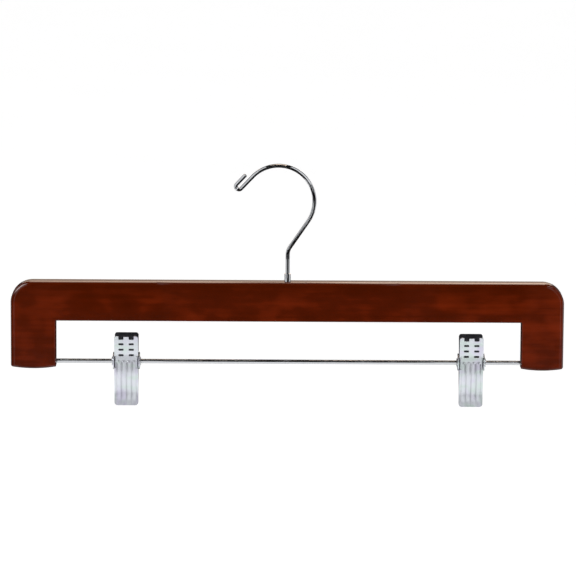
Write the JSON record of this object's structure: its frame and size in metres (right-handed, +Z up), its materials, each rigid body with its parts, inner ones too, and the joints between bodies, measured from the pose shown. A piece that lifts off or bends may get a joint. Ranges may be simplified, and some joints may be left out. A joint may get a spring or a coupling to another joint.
{
  "type": "trouser hanger",
  "caption": "Square-ended wooden bottoms hanger with a swivel wire hook, a steel cross rod and sliding sprung pinch clips for trousers and skirts.",
  "frame": {"origin": "seat of the rail: the underside of the hook's loop, straight above the hook's swivel axis", "axes": "+X along the bar to the right as seen from the front, +Y to the back, +Z up; the front faces -Y"},
  "size_m": [0.356, 0.016, 0.1578],
  "materials": {
    "stained_wood": "glossy lacquer over dark mahogany stain",
    "chrome_plate": "mirror chrome plating",
    "rod_steel": "bright drawn steel",
    "spring_steel": "bright spring wire"
  },
  "bodies": {
    "hook": {"swivel_hook": "chrome_plate"},
    "board": {"wooden_board": "stained_wood", "cross_rod": "rod_steel", "left_rod_plug": "stained_wood", "right_rod_plug": "stained_wood", "hook_bush": "chrome_plate", "hook_washer": "rod_steel"},
    "left_clip_carrier": {"left_clip_pivot_tube": "rod_steel"},
    "left_clip_rear": {"left_clip_rear_jaw": "chrome_plate", "left_clip_spring": "spring_steel"},
    "left_clip_front": {"left_clip_front_jaw": "chrome_plate"},
    "right_clip_carrier": {"right_clip_pivot_tube": "rod_steel"},
    "right_clip_rear": {"right_clip_rear_jaw": "chrome_plate", "right_clip_spring": "spring_steel"},
    "right_clip_front": {"right_clip_front_jaw": "chrome_plate"}
  },
  "joints": [
    {"name": "hook_swivel", "type": "hinge", "parent": "hook", "child": "board", "pos_m": [0, 0, -0.07262], "axis": [0, 0, 1], "continuous": true},
    {"name": "left_clip_slide", "type": "slide", "parent": "board", "child": "left_clip_carrier", "axis": [1, 0, 0], "range_m": [-0.0357, 0.0942]},
    {"name": "left_clip_swing", "type": "hinge", "parent": "left_clip_carrier", "child": "left_clip_rear", "pos_m": [-0.1037, 0, -0.12532], "axis": [1, 0, 0], "range_deg": [-115, 115]},
    {"name": "left_clip_open", "type": "hinge", "parent": "left_clip_rear", "child": "left_clip_front", "pos_m": [-0.1037, 0, -0.12532], "axis": [-1, 0, 0], "range_deg": [0, 40], "stiffness_Nm_per_rad": 0.2, "springref_deg": -57.3, "deforming": ["left_clip_spring"]},
    {"name": "right_clip_slide", "type": "slide", "parent": "board", "child": "right_clip_carrier", "axis": [1, 0, 0], "range_m": [-0.1093, 0.0224]},
    {"name": "right_clip_swing", "type": "hinge", "parent": "right_clip_carrier", "child": "right_clip_rear", "pos_m": [0.1188, 0, -0.12532], "axis": [1, 0, 0], "range_deg": [-115, 115]},
    {"name": "right_clip_open", "type": "hinge", "parent": "right_clip_rear", "child": "right_clip_front", "pos_m": [0.1188, 0, -0.12532], "axis": [-1, 0, 0], "range_deg": [0, 40], "stiffness_Nm_per_rad": 0.2, "springref_deg": -57.3, "deforming": ["right_clip_spring"]}
  ]
}
